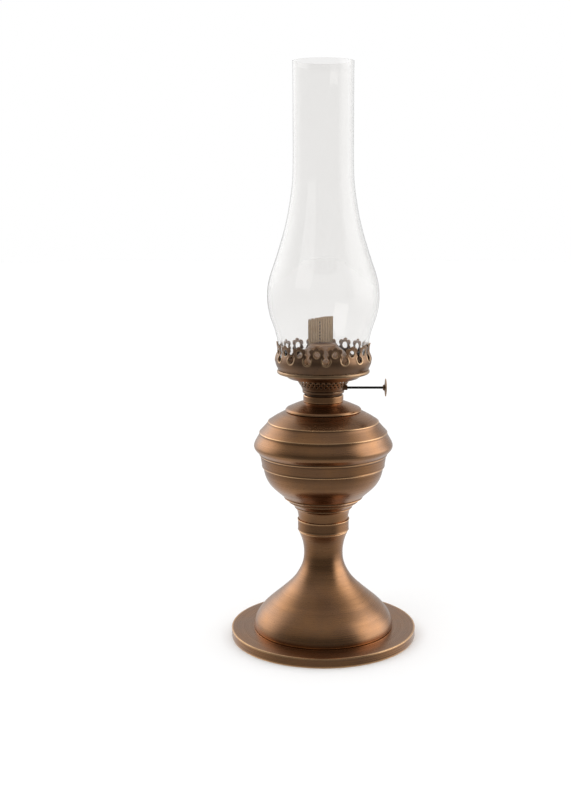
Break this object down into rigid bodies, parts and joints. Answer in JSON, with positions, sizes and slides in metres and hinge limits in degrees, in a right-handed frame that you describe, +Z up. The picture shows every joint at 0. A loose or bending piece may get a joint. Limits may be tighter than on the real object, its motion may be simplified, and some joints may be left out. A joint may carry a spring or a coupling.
{
  "type": "oil lamp",
  "caption": "Tall table oil lamp with a weighted round foot, a spun bell pedestal, a bulging font, a flat-wick burner with a pierced gallery and a tall clear glass chimney.",
  "frame": {"origin": "on the table under the middle of the foot", "axes": "+Z up, the wick is flat in the XZ plane and the winder's knob is on the +X side"},
  "size_m": [0.1588, 0.1588, 0.4826],
  "materials": {
    "antique_bronze": "satin antique bronze, lacquered",
    "dark_bronze": "dark antique bronze",
    "black_steel": "blackened",
    "plain_steel": "zinc plated",
    "cast_iron": "rough",
    "felt": "felt",
    "cotton_wick": "woven cotton",
    "clear_glass": "clear, polished"
  },
  "bodies": {
    "lamp_base": {"foot_plate": "antique_bronze", "felt_pad": "felt", "ballast_weight": "cast_iron", "tie_rod": "plain_steel", "tie_rod_washer": "plain_steel", "tie_rod_nut": "plain_steel", "pedestal_bell": "antique_bronze", "pedestal_cup": "antique_bronze", "font_boss": "dark_bronze", "font_lower_bowl": "antique_bronze", "font_upper_shell": "antique_bronze", "font_cap": "antique_bronze", "font_collar": "antique_bronze"},
    "screw_ring": {"burner_screw_ring": "antique_bronze"},
    "burner": {"burner_floor": "dark_bronze", "wick_tube": "dark_bronze", "vent_tube": "dark_bronze", "burner_basket": "dark_bronze", "air_plate": "dark_bronze", "gallery_dish": "antique_bronze", "gallery_crown": "dark_bronze", "flame_deflector": "antique_bronze", "shaft_lug_left": "dark_bronze", "shaft_lug_right": "dark_bronze", "shaft_bushing": "dark_bronze"},
    "winder": {"winder_shaft": "black_steel", "winder_wheel_1": "plain_steel", "winder_wheel_2": "plain_steel", "winder_wheel_3": "plain_steel", "winder_wheel_4": "plain_steel", "winder_knob": "dark_bronze"},
    "wick": {"wick": "cotton_wick"},
    "chimney": {"chimney": "clear_glass"}
  },
  "joints": [
    {"name": "burner_lift", "type": "slide", "parent": "lamp_base", "child": "screw_ring", "axis": [0, 0, 1], "range_m": [0, 0.12]},
    {"name": "burner_turn", "type": "hinge", "parent": "screw_ring", "child": "burner", "pos_m": [0, 0, 0.2103], "axis": [0, 0, 1], "range_deg": [0, 900]},
    {"name": "winder_turn", "type": "hinge", "parent": "burner", "child": "winder", "pos_m": [0, -0.0067, 0.2181], "axis": [1, 0, 0], "range_deg": [-185, 75]},
    {"name": "wick_feed", "type": "slide", "parent": "burner", "child": "wick", "axis": [0, 0, 1], "range_m": [-0.018, 0.0075]},
    {"name": "chimney_lift", "type": "slide", "parent": "burner", "child": "chimney", "axis": [0, 0, 1], "range_m": [0, 0.07]}
  ],
  "couplings": [
    {"joint": "wick_feed", "follows": "winder_turn", "m_per_rad": 0.0054}
  ]
}
